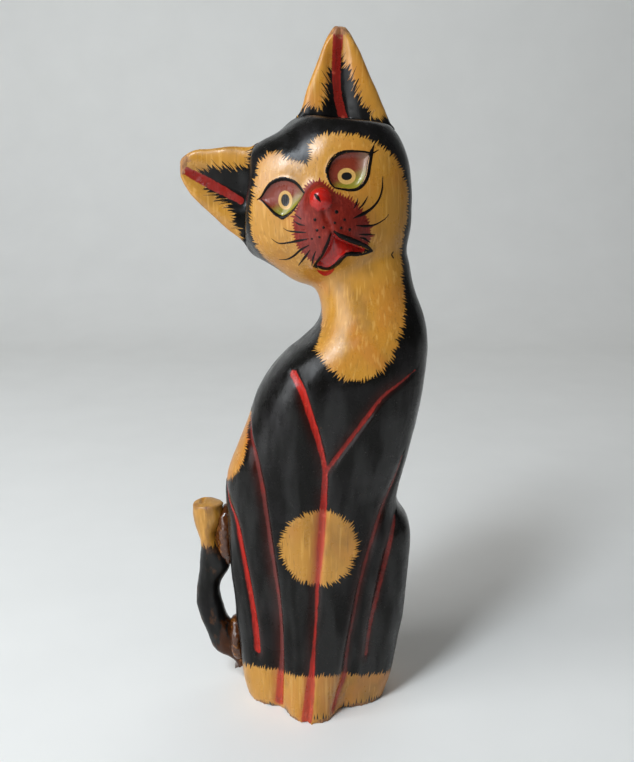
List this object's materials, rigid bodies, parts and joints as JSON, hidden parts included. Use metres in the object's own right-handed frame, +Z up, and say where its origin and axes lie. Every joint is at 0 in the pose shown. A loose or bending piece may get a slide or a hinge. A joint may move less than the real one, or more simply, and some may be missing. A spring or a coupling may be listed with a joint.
{
  "type": "carved cat figure",
  "caption": "Tall sitting cat carved in wood with a tilted head, pegged ears and a curved side tail, painted with stroked fur patches.",
  "frame": {"origin": "middle of the flat base, on the surface that the figure stands on", "axes": "+Z up the figure, -Y the way it looks, +X to its own left"},
  "size_m": [0.1061, 0.0681, 0.3002],
  "materials": {
    "painted_wood": "light carved wood under black, ochre yellow and red paint, with a clear gloss varnish",
    "bare_wood": "bare bamboo",
    "glue": "dark amber glossy glue, set in runs and beads"
  },
  "bodies": {
    "root": {"body": "painted_wood", "left_ear": "painted_wood", "right_ear": "painted_wood", "tail": "painted_wood", "tail_upper_glue": "glue", "tail_lower_glue": "glue", "left_ear_peg": "bare_wood", "right_ear_peg": "bare_wood", "tail_upper_peg": "bare_wood", "tail_lower_peg": "bare_wood"}
  },
  "joints": []
}
